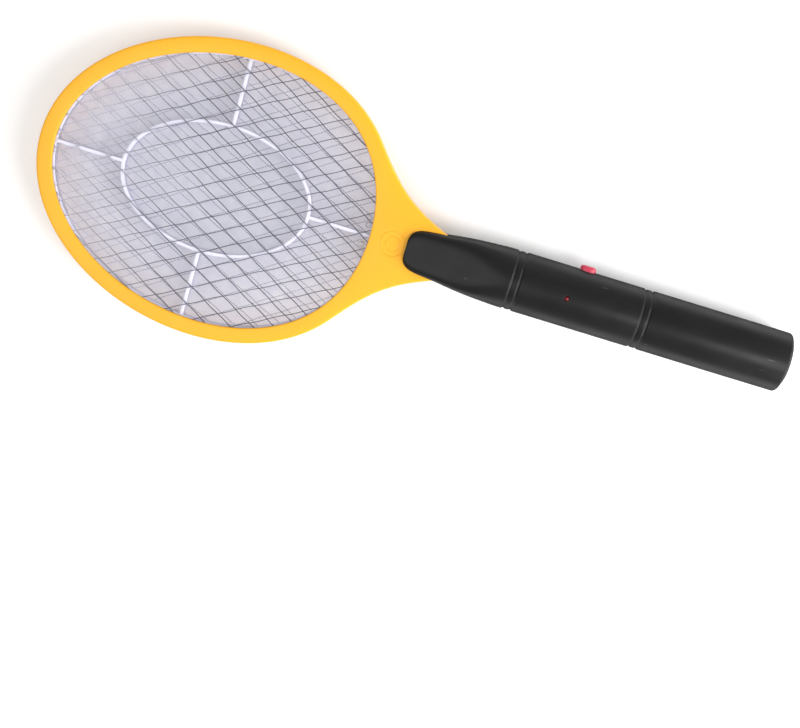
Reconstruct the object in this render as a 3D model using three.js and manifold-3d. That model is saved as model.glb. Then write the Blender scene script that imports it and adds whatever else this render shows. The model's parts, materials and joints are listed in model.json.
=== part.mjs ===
// Electric fly swatter: a racket head of two clamped frame halves around live wire meshes,
// a round two-shell handle with the high-voltage circuit, cells and button inside,
// and a two-pin charging plug that folds into the underside of the handle.
// Units are millimetres. While modelling, x runs from the head's centre towards the butt,
// z = 0 is the middle plane of the head and the handle's axis, and the button is on +y.
import * as THREE from 'three';
import { mergeVertices } from 'three/addons/utils/BufferGeometryUtils.js';
import Module from 'manifold-3d';

const wasm = await Module();
wasm.setup();

const GAP = 0.3;                      // clearance between neighbouring pieces
const HALF_GAP = GAP / 2;

// head outline: an egg given by a Fourier formula, and offsets from its inner edge
const EGG = { centre: 11.4, long: 102.2, longSecond: -14.1, wide: 81.5, wideSecond: -7.5 };
const EGG_SIDES = 48;
const SHEET_SIDES = 32;               // the sheets' rims are hidden in the pocket
const RIM_WIDTH = 9.8;
const HEAD_THICKNESS = 14;
const RIM_ROUNDING = 1.6;
const POCKET_REACH = 4.8;             // how far the sheets are let into the rim
const POCKET_HALF_HEIGHT = 4.9;
const SHEET_REACH = POCKET_REACH - 0.5;

// neck: the flare from the rim to the mouth of the handle, and the tongue inside it
const NECK_START_ANGLE = THREE.MathUtils.degToRad(46.5);
const NECK_PULLS = [31, 29.5];
const NECK_SLOPE = 0.394;
const NECK_STEPS = 10;
const MOUTH_X = 146;
const MOUTH_HALF_WIDTH = 14.4;
const TONGUE = { end: 168, halfWidth: 10.5, halfHeight: 6.7 };
const TAB_CHANNEL = { start: 98, end: 128, halfWidth: 9 };
const LEAD_CHANNEL = { start: 127, halfWidth: 4, halfHeight: 3.5 };

// sheets between the frame halves
const GUARD = { pitch: 30, angle: 29.3, wire: 1.0, thickness: 0.7, z: 4.25 };
const GRID = { pitch: 36, wire: 0.8, thickness: 0.7 };
const SPACER = { thickness: 2.9, z: 2.15, ringLong: 60, ringWide: 40, bar: 2.4, ringX: -1, rimReach: 1 };
const TERMINAL = { x: 96.4, y: -6, outer: 2.2, inner: 1.1, thickness: 0.6 };
const TAB = { y: 6, halfWidth: 2, start: 101.5, end: 111.9 };

// handle
const HANDLE_RADIUS = 19;
const HANDLE_SIDES = 32;
const WALL = 2.6;
const HANDLE_END = 369;
const BUTT_END = 370;
const GROOVE_PAIRS = [194, 276];
const GROOVE = { spacing: 4.4, halfWidth: 1.1, depth: 0.8, ridge: 0.25 };
const NOSE = { tip: 123, halfWidth: 13, base: 7.3, corner: 8 };
// sections [x, half-width, half-height, power] of the handle's front, from the nose's tip:
// a high power gives a flat top with crisp edges, and 2 is a plain ellipse
const FRONT_SECTIONS = [[123, 12.9, 10.2, 6], [130, 13.5, 11, 6], [146.3, 15, 12.9, 5.6],
  [158, 16.6, 14.6, 4.6], [168, 17.7, 16.1, 3.5], [178, 18.5, 17.8, 2.5], [187, 19, 19]];

const CAVITY_FRONT = [[171, 14.8, 13.6], [184, 15.9, 15.5]];
const CAVITY_ROUND_START = 200;
const CAVITY_END = 364.5;
const CAVITY_SIDES = 24;

// end cap: a flange held in a groove of the shells, and the face that closes the butt
const CAP = { flangeStart: 364.7, flangeEnd: 366.6, flangeRadius: 17.4, radius: 16.2, chamfer: 1 };
const BOSS_RADIUS = 2.9;

// button, switch and indicator on the circuit board
const BOARD = { start: 182, end: 243.2, halfWidth: 11, bottom: -5, top: -3.4 };
const BUTTON = { x: 235.5, length: 10, height: 8, crown: 21.9, back: 13.4, flange: 1.4, travel: 2 };
const LED = { x: 226.6, radius: 1.5, top: 19.4 };
const TRANSFORMER_X = 191.5;

// cells
const CELL = { start: 253, length: 50, radius: 7.1, y: 7.4, z: 2.5, nubRadius: 2.6, nubLength: 1.2 };

// folding plug: two round pins at the mains spacing on a T-shaped block
const HINGE = { x: 326, z: -12, pinRadius: 1.5, pinHalfLength: 11.5, barrelRadius: 4.5 };
const PLUG = { neckHalfWidth: 5, headHalfWidth: 14, headNear: 316, headFar: 305, top: -8.5 };
const PIN = { spacing: 19, radius: 2, length: 19, z: -12.5, root: 7.5 };
const TRAY = { start: 281.3, end: 334.7, halfWidth: 15.6, top: -5.5, recessTop: -7.2 };

const SCREW_SIDES = 10;
const HEAD_SCREW = { headZ: -5.6, tipZ: 4.6, shank: 0.9, head: 1.6 };
const HANDLE_SCREW = { shank: 1.1, head: 2.1, frontLength: 21, length: 19 };
const RIM_SCREW_ANGLES = [65, 120, 180, 240, 295];
const RIM_SCREW_INSET = 7.3;
const NECK_SCREWS = [[116, 17], [116, -17]];
// the handle's screws as [x, y, head's z]: the front pair clamps the tongue of the head
const HANDLE_SCREWS = [[158, 7.5, -12], [158, -7.5, -12], [248, 12, -10.5], [248, -12, -10.5],
  [361.9, 0, -15.5]];

const paint = (color, roughness, metalness = 0) =>
  new THREE.MeshStandardMaterial({ color, roughness, metalness });
const YELLOW = paint(0xfdc92f, 0.35);
const BLACK = paint(0x242424, 0.45);
const STEEL = paint(0x85868c, 0.35, 1);
const DARK_STEEL = paint(0x55565c, 0.4, 1);
const WHITE = paint(0xe9e8ee, 0.5);
const RED = paint(0xc8324f, 0.35);
const GREEN = paint(0x1f6b3c, 0.6);
const COPPER = paint(0xb0683a, 0.4, 1);
const BRASS = paint(0xc9a84e, 0.35, 1);
const NICKEL = paint(0xc9c9c6, 0.25, 1);
const FERRITE = paint(0x3a3936, 0.8);
const BLUE = paint(0x2e5fa8, 0.45);
const BROWN = paint(0x8b4a2b, 0.5);

const swatter = new THREE.Group();

function solid(geometry) {
  const plain = geometry.index ? geometry.clone() : geometry;
  plain.deleteAttribute('normal');
  plain.deleteAttribute('uv');
  const merged = mergeVertices(plain, 1e-4);
  return new wasm.Manifold(new wasm.Mesh({
    numProp: 3,
    vertProperties: new Float32Array(merged.attributes.position.array),
    triVerts: new Uint32Array(merged.index.array),
  }));
}

function add(name, shape, material) {
  const mesh = shape.getMesh();
  const geometry = new THREE.BufferGeometry();
  geometry.setAttribute('position', new THREE.BufferAttribute(mesh.vertProperties, 3));
  geometry.setIndex(new THREE.BufferAttribute(mesh.triVerts, 1));
  geometry.computeVertexNormals();
  const piece = new THREE.Mesh(geometry, material);
  piece.name = name;
  swatter.add(piece);
}

// a box between two corners
function block(x0, x1, y0, y1, z0, z1) {
  const box = new THREE.BoxGeometry(x1 - x0, y1 - y0, z1 - z0);
  return solid(box.translate((x0 + x1) / 2, (y0 + y1) / 2, (z0 + z1) / 2));
}

// a round bar along one axis
function bar(axis, radius, from, to, [u, v], sides = 12) {
  const rod = new THREE.CylinderGeometry(radius, radius, to - from, sides);
  const middle = (from + to) / 2;
  if (axis === 'x') rod.rotateZ(Math.PI / 2).translate(middle, u, v);
  if (axis === 'y') rod.translate(u, middle, v);
  if (axis === 'z') rod.rotateX(Math.PI / 2).translate(u, v, middle);
  return solid(rod);
}

// a flat plate of an outline, centred on a height
function plate(outline, thickness, z) {
  const shape = new THREE.Shape(outline);
  const slab = new THREE.ExtrudeGeometry(shape, { depth: thickness, bevelEnabled: false });
  return solid(slab.translate(0, 0, z - thickness / 2));
}

function eggPoint(t, offset) {
  const x = EGG.centre + EGG.long * Math.cos(t) + EGG.longSecond * Math.cos(2 * t);
  const y = EGG.wide * Math.sin(t) + EGG.wideSecond * Math.sin(2 * t);
  const dx = -EGG.long * Math.sin(t) - 2 * EGG.longSecond * Math.sin(2 * t);
  const dy = EGG.wide * Math.cos(t) + 2 * EGG.wideSecond * Math.cos(2 * t);
  const length = Math.hypot(dx, dy);
  return new THREE.Vector2(x + offset * dy / length, y - offset * dx / length);
}

function eggArc(offset, from, to, steps) {
  return Array.from({ length: steps + 1 }, (_, i) => eggPoint(from + (to - from) * i / steps, offset));
}

function egg(offset, sides = EGG_SIDES) {
  return eggArc(offset, 0, 2 * Math.PI, sides).slice(0, -1);
}

// the flare of the neck on the +y side, from the rim to the mouth of the handle
function neckFlare() {
  const start = eggPoint(NECK_START_ANGLE, RIM_WIDTH);
  const near = eggPoint(NECK_START_ANGLE - 0.01, RIM_WIDTH);
  const leave = near.sub(start).normalize().multiplyScalar(NECK_PULLS[0]);
  const end = new THREE.Vector2(MOUTH_X, MOUTH_HALF_WIDTH);
  const arrive = new THREE.Vector2(-1, NECK_SLOPE).normalize().multiplyScalar(NECK_PULLS[1]);
  const curve = new THREE.CubicBezierCurve(start, start.clone().add(leave), end.clone().add(arrive), end);
  return curve.getPoints(NECK_STEPS);
}

function headBlank() {
  const steps = Math.round(EGG_SIDES * (1 - NECK_START_ANGLE / Math.PI));
  const rim = eggArc(RIM_WIDTH, NECK_START_ANGLE, 2 * Math.PI - NECK_START_ANGLE, steps);
  const upper = neckFlare().slice(1).reverse();
  const lower = neckFlare().slice(1).map((p) => new THREE.Vector2(p.x, -p.y));
  const outline = new THREE.Shape([...upper, ...rim, ...lower]);
  outline.holes.push(new THREE.Path(egg(0).reverse()));
  const ring = new THREE.ExtrudeGeometry(outline, {
    depth: HEAD_THICKNESS - 2 * RIM_ROUNDING,
    bevelThickness: RIM_ROUNDING,
    bevelSize: RIM_ROUNDING,
    bevelOffset: -RIM_ROUNDING,
    bevelSegments: 2,
  });
  const body = solid(ring.translate(0, 0, RIM_ROUNDING - HEAD_THICKNESS / 2));
  const { end, halfWidth, halfHeight } = TONGUE;
  return body.add(block(MOUTH_X - 3, end, -halfWidth, halfWidth, -halfHeight, halfHeight));
}

// a self-tapping screw standing on +z, its head at the low end
function screw(x, y, headZ, tipZ, shank, head) {
  const depth = tipZ - headZ;
  const headHeight = 0.8 * head;
  const profile = [[0, 0], [head, 0], [head, 0.4 * headHeight], [shank, headHeight],
    [shank, depth - 2 * shank], [0, depth]];
  const points = profile.map(([r, h]) => new THREE.Vector2(r, h));
  const turned = new THREE.LatheGeometry(points, SCREW_SIDES);
  const slot = block(-head, head, -0.25, 0.25, -1, 0.35 * headHeight);
  const body = solid(turned.rotateX(Math.PI / 2)).subtract(slot);
  return body.translate([x, y, headZ]);
}

// the hole a screw goes through: a counterbore for its head and a bore for its shank
function screwHole(x, y, openZ, headZ, tipZ, shank, head) {
  const bore = bar('z', shank + GAP, headZ - 1, tipZ + GAP, [x, y], SCREW_SIDES);
  const seat = bar('z', head + GAP, openZ, headZ + 0.8 * head + GAP, [x, y], SCREW_SIDES);
  return bore.add(seat);
}

function headScrewPlaces() {
  const rim = RIM_SCREW_ANGLES.map((degrees) => {
    const point = eggPoint(THREE.MathUtils.degToRad(degrees), RIM_SCREW_INSET);
    return [point.x, point.y];
  });
  return [...rim, ...NECK_SCREWS];
}

function handleScrewPlaces() {
  return HANDLE_SCREWS.map(([x, y, headZ]) => {
    const length = x < TONGUE.end ? HANDLE_SCREW.frontLength : HANDLE_SCREW.length;
    return { x, y, headZ, tipZ: headZ + length };
  });
}

function headFrame() {
  let blank = headBlank();
  const pocket = plate(egg(POCKET_REACH), 2 * POCKET_HALF_HEIGHT, 0);
  const { start, end, halfWidth } = TAB_CHANNEL;
  const wideChannel = block(start, end, -halfWidth, halfWidth, -POCKET_HALF_HEIGHT, POCKET_HALF_HEIGHT);
  const { halfWidth: w, halfHeight: h } = LEAD_CHANNEL;
  const narrowChannel = block(LEAD_CHANNEL.start, TONGUE.end + 1, -w, w, -h, h);
  blank = blank.subtract(pocket).subtract(wideChannel).subtract(narrowChannel);
  const { headZ, tipZ, shank, head } = HEAD_SCREW;
  for (const [x, y] of headScrewPlaces()) {
    blank = blank.subtract(screwHole(x, y, -HEAD_THICKNESS, headZ, tipZ, shank, head));
  }
  for (const place of handleScrewPlaces().slice(0, 2)) {
    const clear = HANDLE_SCREW.shank + 0.5;
    blank = blank.subtract(bar('z', clear, -20, 20, [place.x, place.y], SCREW_SIDES));
  }
  const front = blank.intersect(block(-200, 200, -200, 200, HALF_GAP, 20));
  const back = blank.intersect(block(-200, 200, -200, 200, -20, -HALF_GAP));
  add('head_frame_front', front, YELLOW);
  add('head_frame_back', back, YELLOW);
}

// a flat sheet of crossing wires inside a flat rim that the frame halves clamp
function wireSheet(angles, pitch, wire, thickness, z) {
  let sheet = null;
  const reach = 130;
  for (const degrees of angles) {
    const turn = THREE.MathUtils.degToRad(degrees);
    const count = Math.floor(reach / pitch);
    for (let i = -count; i <= count; i += 1) {
      const strip = new THREE.BoxGeometry(2 * reach, wire, thickness);
      strip.translate(0, i * pitch, 0).rotateZ(turn).translate(EGG.centre, 0, z);
      const piece = solid(strip);
      sheet = sheet ? sheet.add(piece) : piece;
    }
  }
  const trimmed = sheet.intersect(plate(egg(2.6, SHEET_SIDES), 2, z));
  const rim = plate(egg(SHEET_REACH, SHEET_SIDES), thickness, z);
  return trimmed.add(rim.subtract(plate(egg(1.4, SHEET_SIDES), 2, z)));
}

function tab(y, z, thickness) {
  const { halfWidth, start, end } = TAB;
  return block(start, end, y - halfWidth, y + halfWidth, z - thickness / 2, z + thickness / 2);
}

function meshes() {
  const angles = [GUARD.angle, -GUARD.angle];
  for (const [name, side] of [['guard_mesh_front', 1], ['guard_mesh_back', -1]]) {
    const z = side * GUARD.z;
    const sheet = wireSheet(angles, GUARD.pitch, GUARD.wire, GUARD.thickness, z);
    add(name, sheet.add(tab(-side * TAB.y, z, GUARD.thickness)), DARK_STEEL);
  }
  const grid = wireSheet([0, 90], GRID.pitch, GRID.wire, GRID.thickness, 0);
  add('high_voltage_grid', grid.add(tab(0, 0, GRID.thickness)), STEEL);
}

function ellipse(long, wide) {
  const curve = new THREE.EllipseCurve(SPACER.ringX, 0, long, wide);
  return curve.getPoints(32).slice(0, -1);
}

function spacers() {
  const { thickness, ringLong, ringWide, bar: width, ringX } = SPACER;
  const half = width / 2;
  for (const [name, z] of [['mesh_spacer_front', SPACER.z], ['mesh_spacer_back', -SPACER.z]]) {
    const low = z - thickness / 2;
    const high = z + thickness / 2;
    const along = block(-130, 130, -half, half, low, high);
    const across = block(ringX - half, ringX + half, -130, 130, low, high);
    const inside = plate(ellipse(ringLong - half, ringWide - half), 4, z);
    const spokes = along.add(across).intersect(plate(egg(0, SHEET_SIDES), 4, z));
    const ring = plate(ellipse(ringLong + half, ringWide + half), thickness, z);
    const outer = plate(egg(SHEET_REACH, SHEET_SIDES), thickness, z);
    const rim = outer.subtract(plate(egg(-SPACER.rimReach, SHEET_SIDES), 4, z));
    add(name, rim.add(spokes).add(ring).subtract(inside), WHITE);
  }
}

function meshTerminals() {
  const { x, y, outer, inner, thickness } = TERMINAL;
  for (const [name, side] of [['mesh_terminal_front', 1], ['mesh_terminal_back', -1]]) {
    const near = GUARD.z + GUARD.thickness / 2 + GAP;
    const low = side > 0 ? near : -near - thickness;
    const eyelet = bar('z', outer, low, low + thickness, [x, side * y], 14);
    const hole = bar('z', inner, low - 1, low + 2, [x, side * y], 14);
    add(name, eyelet.subtract(hole), BRASS);
  }
}

function headScrews() {
  const { headZ, tipZ, shank, head } = HEAD_SCREW;
  headScrewPlaces().forEach(([x, y], i) => {
    const rimCount = RIM_SCREW_ANGLES.length;
    const name = i < rimCount ? `rim_screw_${i + 1}` : `neck_screw_${i + 1 - rimCount}`;
    add(name, screw(x, y, headZ, tipZ, shank, head), STEEL);
  });
}

// a lofted bar whose sections are superellipses [x, half-width, half-height, power]
function loft(stations, sides) {
  const positions = [];
  for (const [x, halfWidth, halfHeight, power = 2] of stations) {
    for (let i = 0; i < sides; i += 1) {
      const turn = (i + 0.5) * 2 * Math.PI / sides;
      const c = Math.cos(turn);
      const s = Math.sin(turn);
      const radius = (Math.abs(c) ** power + Math.abs(s) ** power) ** (-1 / power);
      positions.push(x, halfWidth * radius * c, halfHeight * radius * s);
    }
  }
  const last = stations.length - 1;
  positions.push(stations[0][0], 0, 0, stations[last][0], 0, 0);
  const start = stations.length * sides;
  const index = [];
  for (let i = 0; i < sides; i += 1) {
    const j = (i + 1) % sides;
    for (let k = 0; k < last; k += 1) {
      const a = k * sides;
      const b = a + sides;
      index.push(a + i, a + j, b + j, a + i, b + j, b + i);
    }
    index.push(start, j, i, start + 1, last * sides + i, last * sides + j);
  }
  const geometry = new THREE.BufferGeometry();
  geometry.setAttribute('position', new THREE.Float32BufferAttribute(positions, 3));
  geometry.setIndex(index);
  return solid(geometry);
}

function grooveStations(centre) {
  const { spacing, halfWidth, depth, ridge } = GROOVE;
  const full = HANDLE_RADIUS;
  const low = full - depth;
  const crest = full - ridge;
  const half = spacing / 2;
  return [[centre - half - halfWidth, full, full], [centre - half, low, low], [centre, crest, crest],
    [centre + half, low, low], [centre + half + halfWidth, full, full]];
}

function handleBlank() {
  const R = HANDLE_RADIUS;
  const body = loft([...FRONT_SECTIONS, ...grooveStations(GROOVE_PAIRS[0]),
    ...grooveStations(GROOVE_PAIRS[1]), [HANDLE_END - 2, R, R], [HANDLE_END, R - 1.6, R - 1.6],
  ], HANDLE_SIDES);
  const neckRoom = block(100, MOUTH_X + GAP, -30, 30, -NOSE.base, NOSE.base);
  return body.intersect(planOutline()).subtract(neckRoom);
}

// the handle seen from above, with the round corners of its nose
function planOutline() {
  const { tip, halfWidth, corner } = NOSE;
  const wide = HANDLE_RADIUS + 1;
  const shape = new THREE.Shape();
  shape.moveTo(MOUTH_X, -wide);
  shape.lineTo(BUTT_END + 5, -wide);
  shape.lineTo(BUTT_END + 5, wide);
  shape.lineTo(MOUTH_X, wide);
  shape.lineTo(tip + corner, halfWidth);
  shape.quadraticCurveTo(tip + 0.8, halfWidth - 0.8, tip, halfWidth - corner);
  shape.lineTo(tip, corner - halfWidth);
  shape.quadraticCurveTo(tip + 0.8, 0.8 - halfWidth, tip + corner, -halfWidth);
  const slab = { depth: 60, bevelEnabled: false, curveSegments: 5 };
  return solid(new THREE.ExtrudeGeometry(shape, slab).translate(0, 0, -30));
}

function handleCavity() {
  const inner = HANDLE_RADIUS - WALL;
  const round = [[CAVITY_ROUND_START, inner, inner], [CAVITY_END, inner, inner]];
  const room = loft([...CAVITY_FRONT, ...round], CAVITY_SIDES);
  const { end, halfWidth, halfHeight } = TONGUE;
  const w = halfWidth + GAP;
  const h = halfHeight + GAP;
  return room.add(block(MOUTH_X - 4, end + 4, -w, w, -h, h));
}

// the groove and mouth in the butt that hold the end cap
function capSeat() {
  const { flangeStart, flangeEnd, flangeRadius, radius } = CAP;
  const groove = bar('x', flangeRadius + GAP, flangeStart - GAP, flangeEnd + GAP, [0, 0], HANDLE_SIDES);
  return groove.add(bar('x', radius + GAP, flangeStart, BUTT_END + 2, [0, 0], HANDLE_SIDES));
}

function bosses() {
  let posts = null;
  for (const { x, y } of handleScrewPlaces().slice(2)) {
    const post = bar('z', BOSS_RADIUS, -20, 20, [x, y], SCREW_SIDES);
    posts = posts ? posts.add(post) : post;
  }
  const insideWall = HANDLE_RADIUS - 1;
  return posts.intersect(bar('x', insideWall, TONGUE.end, CAVITY_END, [0, 0], HANDLE_SIDES));
}

function handleShells() {
  let blank = handleBlank().subtract(handleCavity()).add(bosses()).subtract(capSeat());
  const { shank, head } = HANDLE_SCREW;
  for (const { x, y, headZ, tipZ } of handleScrewPlaces()) {
    blank = blank.subtract(screwHole(x, y, -25, headZ, tipZ, shank, head));
  }
  const doorX = BUTTON.length / 2 + GAP;
  const doorZ = BUTTON.height / 2 + GAP;
  const side = [BUTTON.x - doorX, BUTTON.x + doorX];
  blank = blank.subtract(block(...side, 12, 25, -doorZ, doorZ));
  blank = blank.subtract(bar('z', LED.radius + GAP, 10, 25, [LED.x, 0]));
  const { start, end, halfWidth } = TRAY;
  blank = blank.subtract(block(start - GAP, end + GAP, -halfWidth - GAP, halfWidth + GAP, -25, -4.5));
  add('handle_upper_shell', blank.intersect(block(100, 400, -30, 30, HALF_GAP, 30)), BLACK);
  add('handle_lower_shell', blank.intersect(block(100, 400, -30, 30, -30, -HALF_GAP)), BLACK);
}

function endCap() {
  const { flangeStart, flangeEnd, flangeRadius, radius, chamfer } = CAP;
  const profile = [[0, flangeStart], [flangeRadius, flangeStart], [flangeRadius, flangeEnd],
    [radius, flangeEnd], [radius, BUTT_END - chamfer], [radius - chamfer, BUTT_END], [0, BUTT_END]];
  const turned = new THREE.LatheGeometry(profile.map(([r, h]) => new THREE.Vector2(r, h)), HANDLE_SIDES);
  add('end_cap', solid(turned.rotateZ(-Math.PI / 2)), BLACK);
}

function handleScrews() {
  const { shank, head } = HANDLE_SCREW;
  handleScrewPlaces().forEach(({ x, y, headZ, tipZ }, i) => {
    add(`handle_screw_${i + 1}`, screw(x, y, headZ, tipZ, shank, head), STEEL);
  });
}

function pushButton() {
  const { x, length, height, crown, back, flange } = BUTTON;
  const shape = new THREE.Shape();
  const a = length / 2;
  const b = height / 2;
  shape.absellipse(0, 0, a, b, 0, 2 * Math.PI);
  const pad = new THREE.ExtrudeGeometry(shape, {
    depth: crown - back - 0.8, bevelThickness: 0.8, bevelSize: 0.8, bevelOffset: -0.8,
    bevelSegments: 2, curveSegments: 10,
  });
  const stem = solid(pad.rotateX(-Math.PI / 2).translate(x, back, 0));
  const rim = block(x - a - 1, x + a + 1, back, back + flange, -b - 1, b + 1);
  const trimmed = stem.intersect(block(x - length, x + length, back, crown, -height, height));
  add('push_button', trimmed.add(rim), RED);
}

function buttonSwitch() {
  const { x } = BUTTON;
  const body = block(x - 4, x + 4, 2.5, 9, BOARD.top + GAP, 3.1);
  add('switch_body', body.subtract(bar('y', 1.7, 4, 10, [x, 0], 10)), BLACK);
  add('switch_plunger', bar('y', 1.4, 6.6, BUTTON.back - GAP, [x, 0], 10), WHITE);
  class Helix extends THREE.Curve {
    getPoint(t, target = new THREE.Vector3()) {
      const turn = t * 3.5 * 2 * Math.PI;
      const y = 9.7 + t * (BUTTON.back - GAP - 10.1);
      return target.set(x + 2.4 * Math.cos(turn), y, 2.4 * Math.sin(turn));
    }
  }
  const section = new THREE.Shape();
  section.absellipse(0, 0, 0.25, 0.25, 0, 2 * Math.PI);
  const coil = { steps: 28, extrudePath: new Helix(), curveSegments: 2 };
  add('button_spring', solid(new THREE.ExtrudeGeometry(section, coil)), STEEL);
}

function indicator() {
  const { x, radius, top } = LED;
  const points = [[0, 12], [radius, 12], [radius, top - 1], [0.8, top - 0.2], [0, top]];
  const lens = new THREE.LatheGeometry(points.map(([r, h]) => new THREE.Vector2(r, h)), 12);
  let body = solid(lens.rotateX(Math.PI / 2)).translate([x, 0, 0]);
  for (const y of [-0.8, 0.8]) {
    body = body.add(block(x - 0.25, x + 0.25, y - 0.25, y + 0.25, BOARD.top + GAP, 12.5));
  }
  add('indicator_led', body, RED);
}

function transformer() {
  const x = TRANSFORMER_X;
  const z = BOARD.top + GAP + 6;
  let core = block(x - 7, x + 7, -5, 5, z - 6, z + 6);
  core = core.subtract(block(x - 5, x - 2, -6, 6, z - 3.5, z + 3.5));
  core = core.subtract(block(x + 2, x + 5, -6, 6, z - 3.5, z + 3.5));
  const coil = block(x - 4.7, x + 4.7, -7.5, 7.5, z - 3.2, z + 3.2);
  const bore = block(x - 2.3, x + 2.3, -5.3, 5.3, z - 5, z + 5);
  add('transformer_core', core, FERRITE);
  add('transformer_winding', coil.subtract(bore), COPPER);
}

function boardParts() {
  const { start, end, halfWidth, bottom, top } = BOARD;
  add('circuit_board', block(start, end, -halfWidth, halfWidth, bottom, top), GREEN);
  const deck = top + GAP;
  add('storage_capacitor', block(202, 215, -9, -2, deck, deck + 11), BROWN);
  add('dropper_capacitor', block(202, 214, 2, 8, deck, deck + 9), BROWN);
  add('rectifier_diode_1', bar('x', 1.3, 217.5, 222.5, [-6, deck + 1.4], 8), BLACK);
  add('rectifier_diode_2', bar('x', 1.3, 217.5, 222.5, [6, deck + 1.4], 8), BLACK);
  add('bleed_resistor', bar('y', 1.1, -9, -3, [228, deck + 1.2], 8), BROWN);
  add('oscillator_transistor', block(231.5, 236, -8.5, -5, deck, deck + 5), BLACK);
}

function cells() {
  const { start, length, radius, y, z, nubRadius, nubLength } = CELL;
  const profile = [[0, 0], [nubRadius, 0], [nubRadius, nubLength], [radius - 0.6, nubLength],
    [radius, nubLength + 0.6], [radius, length - 0.4], [radius - 0.4, length], [0, length]];
  const points = profile.map(([r, h]) => new THREE.Vector2(r, h));
  const forward = new THREE.LatheGeometry(points, 16).rotateZ(-Math.PI / 2);
  const backward = forward.clone().rotateZ(Math.PI).translate(2 * start + length, 0, 0);
  add('battery_cell_1', solid(forward.translate(start, y, z)), BLUE);
  add('battery_cell_2', solid(backward.translate(-start, -y, z)), BLUE);
  const rear = start + length + GAP;
  add('battery_link', block(rear, rear + 0.5, -y - 2.5, y + 2.5, z - 2.5, z + 2.5), NICKEL);
}

function roundBody(radius) {
  return loft([[270, radius, radius], [350, radius, radius]], HANDLE_SIDES);
}

function plugTray() {
  const { start, end, halfWidth, top, recessTop } = TRAY;
  let tray = block(start, end, -halfWidth, halfWidth, -20, top).intersect(roundBody(HANDLE_RADIUS - 0.1));
  const headHalf = PLUG.headHalfWidth + GAP;
  const neckHalf = PLUG.neckHalfWidth + GAP;
  tray = tray.subtract(block(PLUG.headFar - 0.8, PLUG.headNear + 3, -headHalf, headHalf, -25, recessTop));
  tray = tray.subtract(block(PLUG.headNear, end - 1.7, -neckHalf, neckHalf, -25, recessTop));
  for (const side of [-1, 1]) {
    const y = side * PIN.spacing / 2;
    const reach = PIN.radius + 0.6;
    const far = PLUG.headFar - PIN.length - 2.5;
    tray = tray.subtract(block(far, PLUG.headFar, y - reach, y + reach, -25, PIN.z + reach));
  }
  const axle = [HINGE.x, HINGE.z];
  const length = HINGE.pinHalfLength;
  add('plug_tray', tray.subtract(bar('y', HINGE.pinRadius + GAP, -length - GAP, length + GAP, axle)), BLACK);
  add('plug_hinge_pin', bar('y', HINGE.pinRadius, -length, length, axle), STEEL);
}

function plug() {
  const { neckHalfWidth: neck, headHalfWidth: head, headNear, headFar, top } = PLUG;
  const { x, z, barrelRadius, pinRadius } = HINGE;
  const cross = block(headFar, headNear, -head, head, -20, top).intersect(roundBody(HANDLE_RADIUS - 0.5));
  const stem = block(headNear - 1, x, -neck, neck, z - barrelRadius, z + barrelRadius);
  const barrel = bar('y', barrelRadius, -neck, neck, [x, z], 20);
  let body = cross.add(stem).add(barrel).subtract(bar('y', pinRadius + GAP, -9, 9, [x, z]));
  for (const [name, side] of [['plug_pin_left', -1], ['plug_pin_right', 1]]) {
    const place = [side * PIN.spacing / 2, PIN.z];
    const inner = headFar + PIN.root;
    body = body.subtract(bar('x', PIN.radius + GAP, headFar - 1, inner + GAP, place));
    const tip = headFar - PIN.length;
    const rod = bar('x', PIN.radius, tip + 1, inner, place);
    const nib = new THREE.CylinderGeometry(PIN.radius, PIN.radius - 0.8, 1, 12);
    const point = solid(nib.rotateZ(-Math.PI / 2).translate(tip + 0.5, ...place));
    add(name, rod.add(point), NICKEL);
  }
  add('plug_block', body, BLACK);
}

function plugContacts() {
  for (const [name, side] of [['plug_contact_left', -1], ['plug_contact_right', 1]]) {
    const y = side * 9;
    const low = TRAY.top + GAP;
    add(name, block(HINGE.x - 5, HINGE.x + 5, y - 2, y + 2, low, low + 0.5), BRASS);
  }
}

// an insulated lead along a smooth curve through its points
function lead(name, points, material) {
  const path = new THREE.CatmullRomCurve3(points.map((p) => new THREE.Vector3(...p)));
  const section = new THREE.Shape();
  section.absellipse(0, 0, 0.65, 0.65, 0, 2 * Math.PI);
  const steps = Math.max(6, Math.round(path.getLength() / 7));
  const tube = new THREE.ExtrudeGeometry(section, { steps, extrudePath: path, curveSegments: 4 });
  add(name, solid(tube), material);
}

function leads() {
  const start = TAB.end + 1;
  const board = BOARD.start - 1;
  for (const [name, y, z, material] of [['front_mesh_lead', -TAB.y, GUARD.z - 0.5, BLACK],
    ['centre_grid_lead', 0, 0, RED], ['back_mesh_lead', TAB.y, 0.5 - GUARD.z, BLACK]]) {
    const near = Math.sign(y) * 2.5;
    lead(name, [[start, y, z], [118, y * 0.9, z * 0.8], [129, near, z * 0.3], [150, near, 0],
      [169, near, 0], [board, y, -2.6]], material);
  }
  const { start: front, y, z: cellZ } = CELL;
  const end = BOARD.end + 1;
  lead('battery_lead_positive', [[front - 1, y, cellZ], [249, y * 0.8, 1.5], [end, 6.5, -2.6]], RED);
  lead('battery_lead_negative', [[front - 1, -y, cellZ], [249, -y * 0.8, 1.5], [end, -6.5, -2.6]], BLACK);
  for (const [name, side] of [['plug_lead_left', -1], ['plug_lead_right', 1]]) {
    lead(name, [[HINGE.x - 6, side * 9, -4.3], [313, side * 6, -1.5], [309, side * 2, 5],
      [304, side * 1.2, 10], [288, side * 1.2, 10.8], [268, side * 1.2, 10.8], [254, side * 1.6, 8],
      [end, side * 2.2, -2.2]], BROWN);
  }
}

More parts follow.
